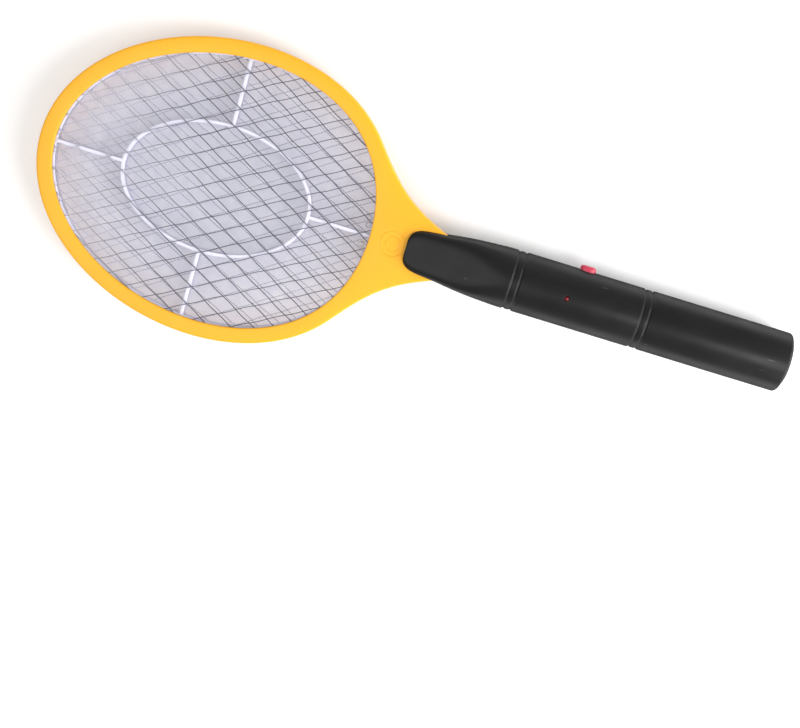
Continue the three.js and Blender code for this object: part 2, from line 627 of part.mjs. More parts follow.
headFrame();
meshes();
spacers();
meshTerminals();
headScrews();
handleShells();
endCap();
handleScrews();
pushButton();
buttonSwitch();
indicator();
transformer();
boardParts();
cells();
plugTray();
plug();
plugContacts();
leads();

// the origin: centre of the overall box, on the plane that the handle's lowest facet rests on
const headTip = eggPoint(Math.PI, RIM_WIDTH).x;
const axisHeight = HANDLE_RADIUS * Math.cos(Math.PI / HANDLE_SIDES);
swatter.position.set(-(headTip + BUTT_END) / 2, 0, axisHeight);

export default swatter;
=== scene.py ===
"""Looks of the electric fly swatter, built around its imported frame.

Shapes are worked out in the swatter's own millimetres: s runs from the head's centre to the
butt, y is positive towards the push button, and z is height above the middle plane of the head.
"""
import json
import math
import random

import bmesh
import bpy
from mathutils import Matrix, Vector


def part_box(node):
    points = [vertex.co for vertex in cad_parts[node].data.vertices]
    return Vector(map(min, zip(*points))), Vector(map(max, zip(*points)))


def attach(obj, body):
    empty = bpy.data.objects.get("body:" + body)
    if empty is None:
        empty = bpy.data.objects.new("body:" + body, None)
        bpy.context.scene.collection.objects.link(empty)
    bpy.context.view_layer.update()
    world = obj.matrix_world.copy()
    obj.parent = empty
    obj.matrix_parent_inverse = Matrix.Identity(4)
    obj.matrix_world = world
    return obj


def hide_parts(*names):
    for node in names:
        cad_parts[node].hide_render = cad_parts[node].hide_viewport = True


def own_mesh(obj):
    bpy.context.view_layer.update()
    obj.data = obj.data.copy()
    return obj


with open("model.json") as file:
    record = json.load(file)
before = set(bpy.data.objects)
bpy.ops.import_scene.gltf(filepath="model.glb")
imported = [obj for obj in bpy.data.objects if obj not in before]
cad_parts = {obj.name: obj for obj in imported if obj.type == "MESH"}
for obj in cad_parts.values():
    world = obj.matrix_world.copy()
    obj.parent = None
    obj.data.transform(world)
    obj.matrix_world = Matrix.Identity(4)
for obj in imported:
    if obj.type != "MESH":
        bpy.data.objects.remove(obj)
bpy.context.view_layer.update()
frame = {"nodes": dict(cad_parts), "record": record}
random.seed(7)

MM = 0.001
TAU = 2 * math.pi

# -------- driving sizes, millimetres
# the edge of the head's opening: an ellipse with a second term that makes it egg-shaped
EGG = {"centre": 11.4, "long": 102.2, "long2": -14.1, "wide": 81.5, "wide2": -7.5}
RIM_WIDTH = 9.8
HEAD_HALF = 7.0
SHELL_GAP = 0.15
FLANGE_LOW = 4.9  # underside of the frame's lip over the sheets
POCKET_REACH = 4.8
NECK_START = math.radians(46.5)  # where the flare leaves the rim
NECK_PULLS = (31.0, 29.5)  # reach of the flare's control points
NECK_SLOPE = 0.394
MOUTH_S = 146.0
MOUTH_HALF = 14.4
TONGUE_END = 168.0
TONGUE_HALF = 10.5
BUTT_S = 370.0
HANDLE_END = 369.0
HANDLE_RADIUS = 19.0
WALL = 2.6
GROOVE_PAIRS = (194.0, 276.0)
NOSE_BASE = 7.3
SHEET_EDGE = 2.2
HEAD_REACH = 125
GUARD_Z = 4.25
GUARD_PITCH = 10.0
GUARD_ANGLE = 29.3
GUARD_RADII = (0.31, 0.25)
GUARD_LIFT = 0.26  # how far a wire rises and dips
GUARD_KINK = 0.22  # how far it bends sideways at a crossing
GUARD_STEP = 1.45
GUARD_DRIFT = 0.35  # how far it bows
DARKENING_SPAN = (-85, 60)  # s of the brightest and the dullest wire
GUARD_TURN_BACK = 4
GUARD_SHIFTS_BACK = (7.0, 1.4)
WIRE_CREST = 0.95
GRID_PITCH = 0.75
GRID_RADIUS = 0.13
SPACER_Z = 2.15
SPACER_HALF = 1.45
SPACER_EDGE = 0.35
SPACER_OUTER = 4.3
SPACER_RING = {"s": -1.0, "long": 60.0, "wide": 40.0, "half_bar": 1.1, "rim": 0.6}
SPOKE_REACH = 84
SPOKE_OVERLAP = 0.8
EYELET_MIDDLE = 0.74
EYELET_ROLL = 0.24

FRAME_EDGE = 1.7
OPENING_EDGE = 0.9
EGG_SIDES = 288
NECK_RING_S = 114.3
NECK_RING_RADII = (8.0, 4.6)
NECK_RING_CUT = 0.3
RIM_SCREW_ANGLES = (65, 120, 180, 240, 295)
RIM_SCREW_INSET = 7.3
NECK_SCREWS = ((116, 17), (116, -17))
HEAD_SEAT = {"radius": 1.9, "z": -4.2}
TONGUE_SCREWS = ((158, 7.5), (158, -7.5))
TONGUE_HOLE = 1.6
TAB_CHANNEL = {"start": 98, "end": 128, "half": 9}
LEAD_CHANNEL = {"start": 127, "half": 4, "height": 3.5}

HANDLE_SIDES = 144
BUTT_EDGE = 1.8
CAVITY_RADIUS = HANDLE_RADIUS - WALL
CAVITY = ((171, 14.8, 13.6, 2), (184, 15.9, 15.5, 2), (200, CAVITY_RADIUS, CAVITY_RADIUS, 2),
          (364.5, CAVITY_RADIUS, CAVITY_RADIUS, 2))
FIT_GAP = 0.3
BEFORE_NOSE = 100
PAST_BUTT = 400
OUTSIDE = 30
CUTTER_REACH = 25
TONGUE_ROOM = {"margin": 4, "half": 10.8}
BUTTON_FLANGE = 1.0
BUTTON = {"root": 0.7, "crown": 1.5, "flange": 1.4, "flange_edge": 0.3, "power": 2.6}
BUTTON_DOOR = (12, CUTTER_REACH)
LENS_HOLE = 1.8
LED_BASE = 12.0
LEG_HALF = 0.25
TRAY_TOP = -4.5
HANDLE_SCREWS = ((158, 7.5, -12), (158, -7.5, -12), (248, 12, -10.5), (248, -12, -10.5), (361.9, 0, -15.5))
HANDLE_SEAT = {"radius": 2.4, "rise": 2}
ARC_RADII = (9.5, 15.5, 21.5, 27.5)
ARC_S = 363.5
ARC_SPAN = math.radians(144)
ARC_CUT = 0.55
CAP_SEAT = {"start": 364.4, "end": 366.9, "radius": 17.7}
CAP_MOUTH = {"start": 366, "radius": 16.5}
CAP_ROOT = ((364.7, 0), (364.7, 17.4), (366.6, 17.4), (366.6, 16.2))
CAP_EDGE = {"s": 368.9, "radius": 15.1, "round": 1.1}
CAP_FACE = ((369.97, 13.6), (369.7, 13.3), (369.7, 12.9), (369.97, 12.6), (370, 12), (370, 0))

SCREW_PITCH = 0.8
SCREW_SHANK = 0.53
SCREW_CROSS = (0.62, 0.13)
SPRING_WIRE = 0.5
SPRING_TURNS = 5
SPRING_CLOSED = 0.8  # turns that lie flat at each end
LEAD_REGAIN = 0.06  # swells a lead back after it is subdivided

POLE_RADIUS = 0.002

BUTT = next(m for m in frame["record"]["mounts"] if m["name"] == "butt_face")
ORIGIN_S = BUTT_S - BUTT["pos_m"][0] / MM
AXIS_Z = BUTT["pos_m"][2] / MM


def at(s, y, z):
    """A point of the row frame, in metres, from the swatter's own millimetres."""
    return Vector(((s - ORIGIN_S) * MM, y * MM, (z + AXIS_Z) * MM))


def node_box(node):
    """A CAD node's box in the swatter's own millimetres: lows and highs of s, y and z."""
    low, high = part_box(node)
    shift = Vector((ORIGIN_S, 0, -AXIS_Z))
    return low / MM + shift, high / MM + shift


# -------- camera, light and floor
PHOTO_ROLL = math.radians(17.28)
CAMERA_LEAN = math.radians(9.4)
CAMERA_DISTANCE = 0.85
VIEW_WIDTH = 0.507
AIM = at(140.8, -72.0, 0)
SENSOR = 36
WORLD_LIGHT = 0.62
LAMPS = (
    # name, place, target, size, watts, length of a strip
    ("key", (-0.55, -0.32, 1.35), (0, 0, 0), 1.2, 7.2, None),
    ("sheen", (0.60, -0.16, 0.85), (0.15, 0, 0), 0.4, 3.8, None),
    ("upper_edge", (-0.1, 1.1, 0.4), (0.05, 0, 0), 0.5, 0.6, None),
    ("end", (1.0, -0.1, 0.42), (0.1, 0, 0), 0.45, 18, 1.8),
)
FLOOR_HALF = 6.0
FLOOR_DROP = 0.0003
PAPER = {"shade": 0.96, "rough": 0.9, "specular": 0.1}


def make_camera():
    toward = Vector((0, math.sin(CAMERA_LEAN), math.cos(CAMERA_LEAN)))
    right = Vector((math.cos(PHOTO_ROLL), math.sin(PHOTO_ROLL), 0))
    right = (right - right.dot(toward) * toward).normalized()
    up = toward.cross(right)
    data = bpy.data.cameras.new("camera")
    data.sensor_width = SENSOR
    data.lens = SENSOR * CAMERA_DISTANCE / VIEW_WIDTH
    data.clip_start = 0.01
    camera = bpy.data.objects.new("camera", data)
    bpy.context.scene.collection.objects.link(camera)
    place = AIM + toward * CAMERA_DISTANCE
    camera.matrix_world = Matrix.Translation(place) @ Matrix((right, up, toward)).transposed().to_4x4()
    bpy.context.scene.camera = camera


def area_light(name, place, target, size, power, length):
    """A soft lamp: a disc, or a strip whose length lies level."""
    data = bpy.data.lights.new(name, "AREA")
    data.shape = "RECTANGLE" if length else "DISK"
    data.size = length or size
    if length:
        data.size_y = size
    data.energy = power
    light = bpy.data.objects.new(name, data)
    bpy.context.scene.collection.objects.link(light)
    light.location = place
    light.rotation_euler = (Vector(target) - Vector(place)).to_track_quat("-Z", "Y").to_euler()


def clear_below(tree, shader):
    """Makes the floor see-through from below, so that the underside of the swatter can be seen."""
    side = tree.nodes.new("ShaderNodeNewGeometry")
    clear = tree.nodes.new("ShaderNodeBsdfTransparent")
    either = tree.nodes.new("ShaderNodeMixShader")
    tree.links.new(side.outputs["Backfacing"], either.inputs["Fac"])
    tree.links.new(shader.outputs["BSDF"], either.inputs[1])
    tree.links.new(clear.outputs["BSDF"], either.inputs[2])
    tree.links.new(either.outputs["Shader"], tree.nodes["Material Output"].inputs["Surface"])


def make_studio():
    world = bpy.data.worlds.new("studio")
    bpy.context.scene.world = world
    world.use_nodes = True
    background = world.node_tree.nodes["Background"]
    background.inputs["Color"].default_value = (1, 1, 1, 1)
    background.inputs["Strength"].default_value = WORLD_LIGHT
    for lamp in LAMPS:
        area_light(*lamp)
    bpy.context.scene.view_settings.view_transform = "Standard"
    mesh = bpy.data.meshes.new("floor")
    corners = [(x * FLOOR_HALF, y * FLOOR_HALF, 0) for x, y in ((-1, -1), (1, -1), (1, 1), (-1, 1))]
    mesh.from_pydata(corners, [], [(0, 1, 2, 3)])
    floor = bpy.data.objects.new("floor", mesh)
    bpy.context.scene.collection.objects.link(floor)
    floor.location.z = -FLOOR_DROP
    paper = bpy.data.materials.new("paper")
    paper.use_nodes = True
    shader = paper.node_tree.nodes["Principled BSDF"]
    shader.inputs["Base Color"].default_value = (*[PAPER["shade"]] * 3, 1)
    shader.inputs["Roughness"].default_value = PAPER["rough"]
    shader.inputs["Specular IOR Level"].default_value = PAPER["specular"]
    clear_below(paper.node_tree, shader)
    mesh.materials.append(paper)


# -------- materials
def nodes_of(name):
    made = bpy.data.materials.new(name)
    made.use_nodes = True
    tree = made.node_tree
    return made, tree, tree.nodes["Principled BSDF"]


def link(tree, source, target):
    tree.links.new(source, target)


def places(tree):
    """Places on a piece, in the swatter's own space."""
    return tree.nodes.new("ShaderNodeTexCoord").outputs["Object"]


def noise(tree, scale, detail, stretch=(1, 1, 1)):
    """A noise texture; scale is in features per metre."""
    mapping = tree.nodes.new("ShaderNodeMapping")
    mapping.inputs["Scale"].default_value = stretch
    link(tree, places(tree), mapping.inputs["Vector"])
    texture = tree.nodes.new("ShaderNodeTexNoise")
    texture.inputs["Scale"].default_value = scale
    texture.inputs["Detail"].default_value = detail
    link(tree, mapping.outputs["Vector"], texture.inputs["Vector"])
    return texture.outputs["Fac"]


def ramp(tree, value, colours, low=0.3, high=0.7):
    """Colours spread over a value from low to high."""
    made = tree.nodes.new("ShaderNodeValToRGB")
    stops = made.color_ramp.elements
    while len(stops) < len(colours):
        stops.new(0.5)
    for i, colour in enumerate(colours):
        stops[i].position = low + (high - low) * i / (len(colours) - 1)
        stops[i].color = (*colour, 1)
    link(tree, value, made.inputs["Fac"])
    return made.outputs["Color"]


def map_range(tree, value, start, end, low=0.0, high=1.0):
    """A value from start to end moved to low to high, and held at those outside."""
    made = tree.nodes.new("ShaderNodeMapRange")
    for socket, number in (("From Min", start), ("From Max", end), ("To Min", low), ("To Max", high)):
        made.inputs[socket].default_value = number
    link(tree, value, made.inputs["Value"])
    return made.outputs["Result"]


def spread(tree, value, low, high):
    """A noise's value, about 0.3 to 0.7, spread over low to high."""
    return map_range(tree, value, 0.3, 0.7, low, high)


def combine(tree, operation, first, second):
    made = tree.nodes.new("ShaderNodeMath")
    made.operation = operation
    link(tree, first, made.inputs[0])
    link(tree, second, made.inputs[1])
    return made.outputs["Value"]


def bump(tree, shader, height, strength, depth):
    made = tree.nodes.new("ShaderNodeBump")
    made.inputs["Strength"].default_value = strength
    made.inputs["Distance"].default_value = depth
    link(tree, height, made.inputs["Height"])
    earlier = shader.inputs["Normal"].links
    if earlier:
        link(tree, earlier[0].from_socket, made.inputs["Normal"])
    link(tree, made.outputs["Normal"], shader.inputs["Normal"])


def shades(colour, amount):
    """A colour a little darker, as it is, and a little lighter."""
    return [tuple(min(1, c * k) for c in colour) for k in (1 - amount, 1, 1 + amount)]


def scratches(tree, stretch):
    """About 1 on thin, sparse scratches that run one way, and 0 elsewhere."""
    lines = map_range(tree, noise(tree, 420, 5, stretch), 0.66, 0.72)
    patches = map_range(tree, noise(tree, 55, 2), 0.5, 0.62)
    return combine(tree, "MULTIPLY", lines, patches)


def worn_and_glint_edges(tree, width):
    """About 1 along convex and concave edges, broken up by a fine noise, and 0 on open faces."""
    rounded = tree.nodes.new("ShaderNodeBevel")
    rounded.samples = 4
    rounded.inputs["Radius"].default_value = width
    surface = tree.nodes.new("ShaderNodeNewGeometry")
    match = tree.nodes.new("ShaderNodeVectorMath")
    match.operation = "DOT_PRODUCT"
    link(tree, rounded.outputs["Normal"], match.inputs[0])
    link(tree, surface.outputs["Normal"], match.inputs[1])
    edge = map_range(tree, match.outputs["Value"], 0.985, 0.90)
    broken = map_range(tree, noise(tree, 260, 5), 0.38, 0.62)
    return combine(tree, "MULTIPLY", edge, broken)


def overlay(tree, under, mask, colour):
    """A colour laid over another by a mask."""
    made = tree.nodes.new("ShaderNodeMixRGB")
    link(tree, mask, made.inputs["Fac"])
    link(tree, under, made.inputs["Color1"])
    made.inputs["Color2"].default_value = (*colour, 1)
    return made.outputs["Color"]


def plastic(name, colour, rough, specular=0.5, grain=2200, grain_strength=0.12, vary=0.04,
            coat=0.0, sheer=0.0, wear_and_glint=None):
    """Moulded plastic; the optional pair of colours gives its edges, rubbed wear and on the black handle a
    painted highlight too, and its scratches.
    """
    made, tree, shader = nodes_of(name)
    base = ramp(tree, noise(tree, 18, 3), shades(colour, vary))
    if wear_and_glint:
        marks = scratches(tree, (0.12, 1, 1))
        # edge colour: rubbed wear, and on the black handle also a painted highlight for the glints along its
        # grooves and edges
        base = overlay(tree, base, worn_and_glint_edges(tree, 0.0006), wear_and_glint[0])
        base = overlay(tree, base, marks, wear_and_glint[1])
        bump(tree, shader, marks, -0.25, 0.00004)
    link(tree, base, shader.inputs["Base Color"])
    link(tree, spread(tree, noise(tree, 60, 6), rough - 0.05, rough + 0.06), shader.inputs["Roughness"])
    shader.inputs["Specular IOR Level"].default_value = specular
    shader.inputs["Coat Weight"].default_value = coat
    shader.inputs["Coat Roughness"].default_value = 0.25
    shader.inputs["Subsurface Weight"].default_value = sheer
    shader.inputs["Subsurface Radius"].default_value = (0.002, 0.001, 0.0004)
    bump(tree, shader, noise(tree, grain, 2), grain_strength, 0.00006)
    bump(tree, shader, noise(tree, 90, 2), 0.05, 0.0004)
    return made


def matte_at_grazing(made, amount):
    """Makes a grained plastic rougher towards its silhouette, where the grain hides the gloss."""
    tree = made.node_tree
    shader = tree.nodes["Principled BSDF"]
    weight = tree.nodes.new("ShaderNodeLayerWeight")
    more = map_range(tree, weight.outputs["Facing"], 0.45, 0.85, high=amount)
    before = shader.inputs["Roughness"].links[0].from_socket
    link(tree, combine(tree, "ADD", before, more), shader.inputs["Roughness"])
    return made


def metal(name, colour, rough, stretch=(1, 1, 1), scale=900, strength=0.1, vary=0.15):
    made, tree, shader = nodes_of(name)
    shader.inputs["Metallic"].default_value = 1
    link(tree, ramp(tree, noise(tree, 160, 4), shades(colour, vary)), shader.inputs["Base Color"])
    streaks = noise(tree, scale, 4, stretch)
    link(tree, spread(tree, streaks, rough - 0.08, rough + 0.12), shader.inputs["Roughness"])
    bump(tree, shader, streaks, strength, 0.00004)
    return made


def darkening_wire(name, bright, dull, rough):
    """Steel wire, bright at the tip of the head and duller towards the handle."""
    made, tree, shader = nodes_of(name)
    split = tree.nodes.new("ShaderNodeSeparateXYZ")
    link(tree, places(tree), split.inputs["Vector"])
    along = map_range(tree, split.outputs["X"], *(at(s, 0, 0).x for s in DARKENING_SPAN))
    patchy = tree.nodes.new("ShaderNodeMath")
    patchy.operation = "MULTIPLY_ADD"
    link(tree, noise(tree, 30, 3), patchy.inputs[0])
    patchy.inputs[1].default_value = 0.9
    link(tree, along, patchy.inputs[2])
    link(tree, ramp(tree, patchy.outputs["Value"], [bright, dull], 0.4, 1.45), shader.inputs["Base Color"])
    shader.inputs["Metallic"].default_value = 1
    link(tree, spread(tree, noise(tree, 700, 4), rough - 0.06, rough + 0.12), shader.inputs["Roughness"])
    bump(tree, shader, noise(tree, 2500, 3), 0.12, 0.00003)
    return made


def laminate(name):
    """Circuit board: green mask over a pattern of copper tracks, with pale pads."""
    made, tree, shader = nodes_of(name)
    tracks = tree.nodes.new("ShaderNodeTexBrick")
    tracks.inputs["Scale"].default_value = 260
    tracks.inputs["Mortar Size"].default_value = 0.05
    tracks.inputs["Color1"].default_value = (0.02, 0.13, 0.045, 1)
    tracks.inputs["Color2"].default_value = (0.015, 0.10, 0.035, 1)
    tracks.inputs["Mortar"].default_value = (0.05, 0.26, 0.08, 1)
    link(tree, places(tree), tracks.inputs["Vector"])
    link(tree, tracks.outputs["Color"], shader.inputs["Base Color"])
    shader.inputs["Roughness"].default_value = 0.35
    bump(tree, shader, tracks.outputs["Fac"], 0.3, 0.0001)
    return made


def banded(name, colours, per_metre, direction, rough, metallic):
    """Even bands across a piece, such as the turns of a winding or a cell's sleeve."""
    made, tree, shader = nodes_of(name)
    wave = tree.nodes.new("ShaderNodeTexWave")
    wave.bands_direction = direction
    wave.inputs["Scale"].default_value = per_metre
    wave.inputs["Distortion"].default_value = 0.6
    wave.inputs["Detail"].default_value = 1
    link(tree, places(tree), wave.inputs["Vector"])
    link(tree, ramp(tree, wave.outputs["Fac"], colours, 0.2, 0.8), shader.inputs["Base Color"])
    shader.inputs["Roughness"].default_value = rough
    shader.inputs["Metallic"].default_value = metallic
    bump(tree, shader, wave.outputs["Fac"], 0.3, 0.0002)
    return made


YELLOW = (0.82, 0.392, 0.0155)
BLACK = (0.0056, 0.0056, 0.0058)
MATERIALS = {
    "yellow_shell": plastic("yellow_abs", YELLOW, 0.36, 0.3, 1500, 0.06, 0.025,
                            sheer=0.06, wear_and_glint=((0.92, 0.50, 0.06), (0.70, 0.36, 0.03))),
    # black_shell's edge colour is partly rubbed wear and partly a painted highlight, the glints on the
    # grooves' lips and the nose's edges
    "black_shell": matte_at_grazing(plastic("black_abs", BLACK, 0.36, 0.22, 2600, 0.14, 0.12,
                                            wear_and_glint=((0.12, 0.12, 0.124), (0.04, 0.04, 0.042))), 0.5),
    "guard_steel": darkening_wire("guard_wire", (0.56, 0.56, 0.62), (0.13, 0.13, 0.16), 0.42),
    "grid_steel": metal("grid_wire", (0.86, 0.86, 0.97), 0.45, vary=0.08),
    "white_spacer": plastic("white_nylon", (0.66, 0.65, 0.75), 0.45, 0.4, 900, 0.06, 0.02, sheer=0.1),
    "terminal": metal("tinned_eyelet", (0.34, 0.33, 0.31), 0.38, vary=0.25),
    "screw_steel": metal("zinc_plate", (0.60, 0.60, 0.62), 0.30, vary=0.12),
    "red_button": plastic("crimson_abs", (0.50, 0.026, 0.062), 0.33, 0.5, 1500, 0.05, 0.05, sheer=0.05),
    "switch_plastic": plastic("switch_case", (0.02, 0.02, 0.022), 0.5),
    "plunger_plastic": plastic("nylon", (0.75, 0.74, 0.70), 0.5),
    "board": laminate("solder_mask"),
    "led_red": plastic("red_lens", (0.13, 0.004, 0.008), 0.35, 0.3, 800, 0.02, 0.05),
    "ferrite": plastic("sintered_ferrite", (0.045, 0.043, 0.04), 0.7, 0.4, 3000, 0.5, 0.2),
    "winding": banded("enamelled_copper", [(0.20, 0.06, 0.02), (0.72, 0.28, 0.10)], 1500, "Z", 0.35, 1),
    "film_capacitor": plastic("dipped_coating", (0.24, 0.075, 0.03), 0.3, 0.5, 500, 0.3, 0.1, coat=0.3),
    "cell_sleeve": banded("cell_sleeve", [(0.03, 0.12, 0.40), (0.05, 0.17, 0.50)], 60, "X", 0.3, 0),
    "nickel": metal("nickel_plate", (0.66, 0.62, 0.58), 0.24, (0.05, 1, 1), 1400, 0.12, 0.08),
    "contact_brass": metal("spring_brass", (0.72, 0.47, 0.16), 0.35),
    "lead_black": plastic("pvc_black", (0.012, 0.012, 0.012), 0.45),
    "lead_red": plastic("pvc_red", (0.45, 0.015, 0.015), 0.45),
    "lead_brown": plastic("pvc_brown", (0.14, 0.05, 0.02), 0.45),
}
SLOT_OF = {part["node"]: part["material_slot"] for part in frame["record"]["subparts"]}
BODY_OF = {node: body for body, nodes in frame["record"]["behaviour"]["bodies"].items() for node in nodes}


# -------- making pieces
def link_object(name, mesh):
    made = bpy.data.objects.new(name, mesh)
    bpy.context.scene.collection.objects.link(made)
    return made


def mesh_object(name, points, faces):
    """A mesh object from points in the swatter's millimetres."""
    mesh = bpy.data.meshes.new(name)
    mesh.from_pydata([at(*p) for p in points], [], faces)
    mesh.validate()
    return link_object(name, mesh)


def outward(piece):
    """Merges doubled points and turns every face outwards."""
    work = bmesh.new()
    work.from_mesh(piece.data)
    bmesh.ops.remove_doubles(work, verts=work.verts, dist=1e-7)
    bmesh.ops.recalc_face_normals(work, faces=work.faces)
    work.to_mesh(piece.data)
    work.free()
    return piece


def baked(piece):
    """The piece with its modifiers applied."""
    graph = bpy.context.evaluated_depsgraph_get()
    mesh = bpy.data.meshes.new_from_object(piece.evaluated_get(graph))
    piece.modifiers.clear()
    piece.data = mesh
    return piece


def remove(piece):
    bpy.data.objects.remove(piece)


def cut(piece, cutters, operation="DIFFERENCE"):
    for cutter in cutters:
        step = piece.modifiers.new("cut", "BOOLEAN")
        step.object = cutter
        step.operation = operation
        step.solver = "EXACT"
        baked(piece)
    for cutter in cutters:
        remove(cutter)
    return piece


def bevel(piece, width):
    """Rounds a piece's edges that are sharper than 35 degrees."""
    step = piece.modifiers.new("bevel", "BEVEL")
    step.width = width * MM
    step.segments = 3
    step.limit_method = "ANGLE"
    step.angle_limit = math.radians(35)
    step.miter_outer = "MITER_ARC"
    return baked(piece)


def shade(mesh, slot, sharp):
    """Gives a mesh its slot's material, and edges that stay sharp from an angle in degrees."""
    mesh.materials.clear()
    mesh.materials.append(MATERIALS[slot])
    mesh.shade_smooth()
    mesh.set_sharp_from_angle(angle=math.radians(sharp))


def finish_piece(piece, node, sharp=32):
    """Gives a piece the finish, body and place of the CAD node that it stands for."""
    shade(piece.data, SLOT_OF[node], sharp)
    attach(piece, BODY_OF[node])
    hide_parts(node)
    return piece


def extra_piece(piece, slot):
    """Finishes a piece of the swatter's body that no CAD node stands for."""
    shade(piece.data, slot, 40)
    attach(piece, "swatter")


def circle(count):
    """The angles of a circle's points."""
    return [TAU * i / count for i in range(count)]


def quarter(steps):
    """The angles of a quarter turn in equal steps, both ends included."""
    return [math.pi / 2 * i / steps for i in range(steps + 1)]


def bridge(faces, first, second, count):
    """Adds the faces between two loops of points, given the number of each loop's first point."""
    for i in range(count):
        j = (i + 1) % count
        faces.append((first + i, first + j, second + j, second + i))


def wrapped(loop_count, count):
    """Faces over loops of equal counts, with the last loop joined to the first."""
    faces = []
    for k in range(loop_count):
        bridge(faces, k * count, (k + 1) % loop_count * count, count)
    return faces


def box(name, s0, s1, y0, y1, z0, z1):
    points = [(s, y, z) for s in (s0, s1) for y in (y0, y1) for z in (z0, z1)]
    faces = [(0, 1, 3, 2), (4, 6, 7, 5), (0, 4, 5, 1), (2, 3, 7, 6), (0, 2, 6, 4), (1, 5, 7, 3)]
    return outward(mesh_object(name, points, faces))


def rings(name, loops):
    """A closed skin over loops of equal counts, with a flat face at each end."""
    count = len(loops[0])
    points = [p for loop in loops for p in loop]
    faces = []
    for k in range(len(loops) - 1):
        bridge(faces, k * count, (k + 1) * count, count)
    faces.append(tuple(range(count)))
    faces.append(tuple((len(loops) - 1) * count + i for i in range(count)))
    return outward(mesh_object(name, points, faces))


def turned(name, profile, centre, axis, sides):
    """A turned piece: profile is (along, radius) pairs along an axis through centre."""
    loops = []
    for along, radius in profile:
        radius = max(radius, POLE_RADIUS)
        loop = []
        for turn in circle(sides):
            u = radius * math.cos(turn)
            v = radius * math.sin(turn)
            offset = {"s": (along, u, v), "y": (u, along, v), "z": (u, v, along)}[axis]
            loop.append(tuple(c + d for c, d in zip(centre, offset)))
        loops.append(loop)
    return rings(name, loops)


def tube_mesh(points, faces, path, radius, sides):
    """Adds a capped tube along a path to lists of points and faces."""
    start = len(points)
    for k, here in enumerate(path):
        before = Vector(path[max(k - 1, 0)])
        after = Vector(path[min(k + 1, len(path) - 1)])
        along = (after - before).normalized()
        side = along.cross(Vector((0, 0, 1)))
        side = side.normalized() if side.length > 1e-6 else Vector((1, 0, 0))
        lift = side.cross(along)
        for turn in circle(sides):
            points.append(tuple(Vector(here) + radius * (math.cos(turn) * side + math.sin(turn) * lift)))
    for k in range(len(path) - 1):
        bridge(faces, start + k * sides, start + (k + 1) * sides, sides)
    faces.append(tuple(start + i for i in reversed(range(sides))))
    last = start + (len(path) - 1) * sides
    faces.append(tuple(last + i for i in range(sides)))


def hoop(name, path, radius):
    """A closed tube around a path that lies level."""
    sides = 8
    points = []
    for k, here in enumerate(path):
        before = Vector(path[k - 1])
        after = Vector(path[(k + 1) % len(path)])
        side = (after - before).normalized().cross(Vector((0, 0, 1)))
        for turn in circle(sides):
            offset = radius * (math.cos(turn) * side + math.sin(turn) * Vector((0, 0, 1)))
            points.append(tuple(Vector(here) + offset))
    return outward(mesh_object(name, points, wrapped(len(path), sides)))


def tube(name, path, radius, sides):
    points = []
    faces = []
    tube_mesh(points, faces, path, radius, sides)
    return outward(mesh_object(name, points, faces))


# -------- head
def egg_point(t, offset):
    """A point of the egg-shaped edge of the head's opening, moved outwards by offset."""
    x = EGG["centre"] + EGG["long"] * math.cos(t) + EGG["long2"] * math.cos(2 * t)
    y = EGG["wide"] * math.sin(t) + EGG["wide2"] * math.sin(2 * t)
    dx = -EGG["long"] * math.sin(t) - 2 * EGG["long2"] * math.sin(2 * t)
    dy = EGG["wide"] * math.cos(t) + 2 * EGG["wide2"] * math.cos(2 * t)
    length = math.hypot(dx, dy)
    return x + offset * dy / length, y - offset * dx / length


def egg(offset, sides=EGG_SIDES):
    return [egg_point(turn, offset) for turn in circle(sides)]


def bezier(p0, p1, p2, p3, steps):
    made = []
    for i in range(steps + 1):
        u = i / steps
        weights = ((1 - u) ** 3, 3 * u * (1 - u) ** 2, 3 * u * u * (1 - u), u ** 3)
        made.append(tuple(sum(w * p[k] for w, p in zip(weights, (p0, p1, p2, p3))) for k in (0, 1)))
    return made


def head_outline():
    """The head's outer edge with the neck, its mouth end and the tongue inside the handle."""
    start = Vector(egg_point(NECK_START, RIM_WIDTH))
    leave = (Vector(egg_point(NECK_START - 0.01, RIM_WIDTH)) - start).normalized() * NECK_PULLS[0]
    end = Vector((MOUTH_S, MOUTH_HALF))
    arrive = Vector((-1, NECK_SLOPE)).normalized() * NECK_PULLS[1]
    flare = bezier(start, start + leave, end + arrive, end, 30)
    steps = 220
    span = TAU - 2 * NECK_START
    rim = [egg_point(NECK_START + span * i / steps, RIM_WIDTH) for i in range(steps + 1)]
    upper = list(reversed(flare[1:]))
    lower = [(s, -y) for s, y in flare[1:]]
    tongue = [(MOUTH_S, -TONGUE_HALF), (TONGUE_END, -TONGUE_HALF), (TONGUE_END, TONGUE_HALF),
              (MOUTH_S, TONGUE_HALF)]
    return upper + rim + lower + tongue


def inset(outline, depth):
    """The outline moved inwards by depth, by the normals at its points."""
    made = []
    count = len(outline)
    for i in range(count):
        before = Vector(outline[i - 1])
        here = Vector(outline[i])
        after = Vector(outline[(i + 1) % count])
        first = (here - before).normalized()
        second = (after - here).normalized()
        normal = Vector((-(first.y + second.y), first.x + second.x))
        normal = normal / max(normal.length_squared / 2, 0.5)
        made.append(tuple(here + normal * depth))
    return made


def fillet(radius, top):
    """(inset, height) pairs of a rounded edge that ends at height top."""
    return [(radius * (1 - math.cos(a)), top - radius + radius * math.sin(a)) for a in quarter(5)]


